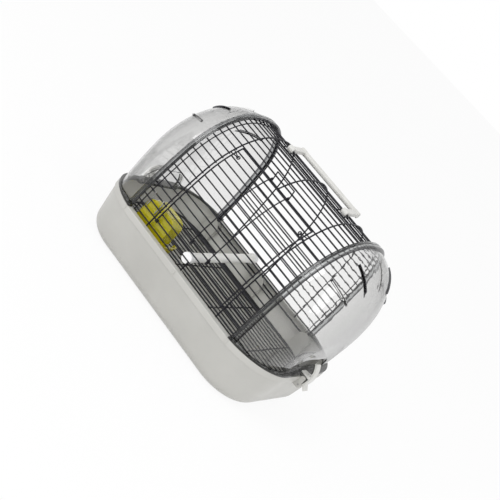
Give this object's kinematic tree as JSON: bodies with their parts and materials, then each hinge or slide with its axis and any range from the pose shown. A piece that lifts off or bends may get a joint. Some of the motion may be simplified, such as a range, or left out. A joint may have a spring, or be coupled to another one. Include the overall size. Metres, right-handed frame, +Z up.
{
  "type": "bird travel carrier",
  "caption": "Portable bird carrier: deep plastic tray, wire vault with a hinged wire door between clear end domes, folding carry handle, side clips, perch and hooded seed cup.",
  "frame": {"origin": "centre of the tray's underside, where the carrier stands", "axes": "+X along the length from one end dome to the other, -Y is the door side, +Z up"},
  "size_m": [0.4072, 0.2716, 0.271],
  "materials": {
    "tray": "warm grey, lightly textured moulded plastic",
    "clear": "clear smoky moulded polystyrene",
    "wire": "black coated steel wire",
    "grate_wire": "black coated steel wire",
    "white": "off-white satin moulded plastic",
    "perch": "pale moulded plastic, finely ridged",
    "cup": "translucent yellow moulded plastic",
    "steel": "plain steel"
  },
  "bodies": {
    "base": {"base_tray": "tray", "grate_frame": "grate_wire", "grate_wires": "grate_wire", "grate_cross_wires": "grate_wire", "clip_pin_left": "steel", "clip_pin_right": "steel"},
    "top": {"end_arch_left": "wire", "end_arch_right": "wire", "end_hoop_left": "wire", "end_hoop_right": "wire", "door_arch_left": "wire", "door_arch_right": "wire", "centre_arch": "wire", "centre_stub": "wire", "sill_bars": "wire", "front_bars_left": "wire", "front_bars_right": "wire", "roof_bars": "wire", "back_bars": "wire", "sill_wires": "wire", "door_stops": "wire", "handle_staple_left": "wire", "handle_staple_right": "wire", "dome_left": "clear", "dome_right": "clear"},
    "door": {"door_frame": "wire", "door_bars": "wire"},
    "latch": {"latch_wire": "wire"},
    "handle": {"handle": "white"},
    "clip_left": {"clip_left": "white"},
    "clip_right": {"clip_right": "white"},
    "perch": {"perch_rod": "perch", "perch_cap_front": "white", "perch_cap_back": "white"},
    "cup": {"seed_cup": "cup", "cup_hooks": "steel"}
  },
  "joints": [
    {"name": "top_lift", "type": "slide", "parent": "base", "child": "top", "axis": [0, 0, 1], "range_m": [0, 0.15]},
    {"name": "door_hinge", "type": "hinge", "parent": "top", "child": "door", "pos_m": [0, -0.12072, 0.0899], "axis": [1, 0, 0], "range_deg": [0, 120]},
    {"name": "latch_slide", "type": "slide", "parent": "door", "child": "latch", "axis": [0, 0, 1], "range_m": [0, 0.0035], "stiffness_N_per_m": 60, "springref_m": -0.005},
    {"name": "handle_hinge", "type": "hinge", "parent": "top", "child": "handle", "pos_m": [0, 0, 0.2647], "axis": [1, 0, 0], "range_deg": [0, 174]},
    {"name": "clip_left_hinge", "type": "hinge", "parent": "base", "child": "clip_left", "pos_m": [-0.192, 0, 0.064], "axis": [0, -1, 0], "range_deg": [0, 60]},
    {"name": "clip_right_hinge", "type": "hinge", "parent": "base", "child": "clip_right", "pos_m": [0.192, 0, 0.064], "axis": [0, 1, 0], "range_deg": [0, 60]},
    {"name": "perch_slide", "type": "slide", "parent": "top", "child": "perch", "axis": [1, 0, 0], "range_m": [-0.025, 0.019]},
    {"name": "cup_lift", "type": "slide", "parent": "top", "child": "cup", "axis": [0, 0, 1], "range_m": [0, 0.005]}
  ]
}
